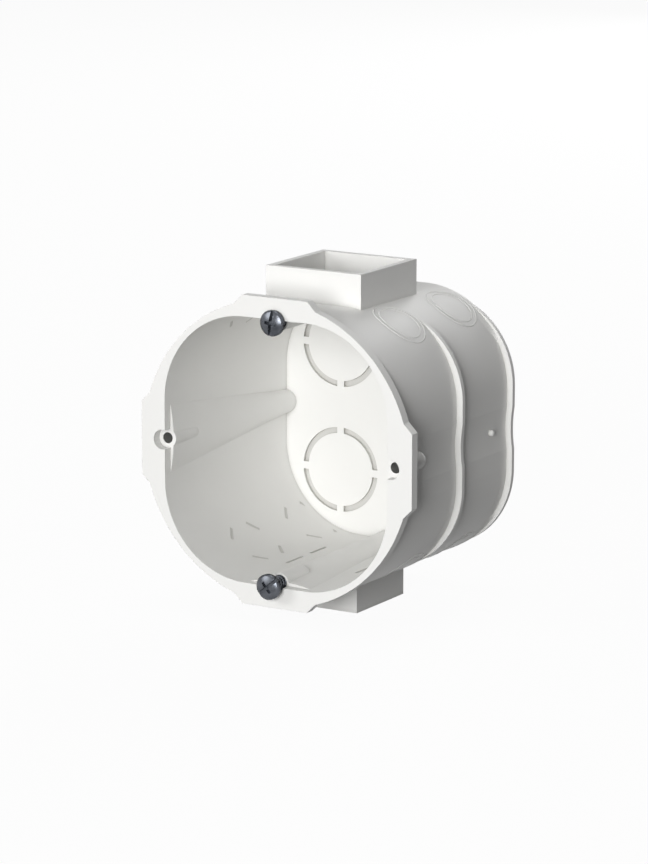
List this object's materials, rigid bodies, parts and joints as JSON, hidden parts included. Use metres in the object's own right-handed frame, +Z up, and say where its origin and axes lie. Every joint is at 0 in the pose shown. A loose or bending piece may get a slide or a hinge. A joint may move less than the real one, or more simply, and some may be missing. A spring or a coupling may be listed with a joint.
{
  "type": "flush mounting box",
  "caption": "Round-cornered flush box that holds a wiring device in a wall, with a square coupling socket on top and a square spigot below.",
  "frame": {"origin": "middle of the front face, halfway between the four device-screw posts, at the plane of the flange's front", "axes": "+X to the right seen from the front, +Y into the wall, +Z up towards the square socket"},
  "size_m": [0.071, 0.0575, 0.0788],
  "materials": {
    "box_plastic": "white moulded thermoplastic, smooth and slightly matt",
    "screw_steel": "zinc-plated steel, dark blue-grey"
  },
  "bodies": {
    "box": {"box_body": "box_plastic"},
    "upper_screw_body": {"upper_screw": "screw_steel"},
    "lower_screw_body": {"lower_screw": "screw_steel"}
  },
  "joints": [
    {"name": "upper_screw_travel", "type": "slide", "parent": "box", "child": "upper_screw_body", "axis": [0, -1, 0], "range_m": [-0.00025, 0.0085]},
    {"name": "lower_screw_travel", "type": "slide", "parent": "box", "child": "lower_screw_body", "axis": [0, -1, 0], "range_m": [-0.00195, 0.0068]}
  ]
}
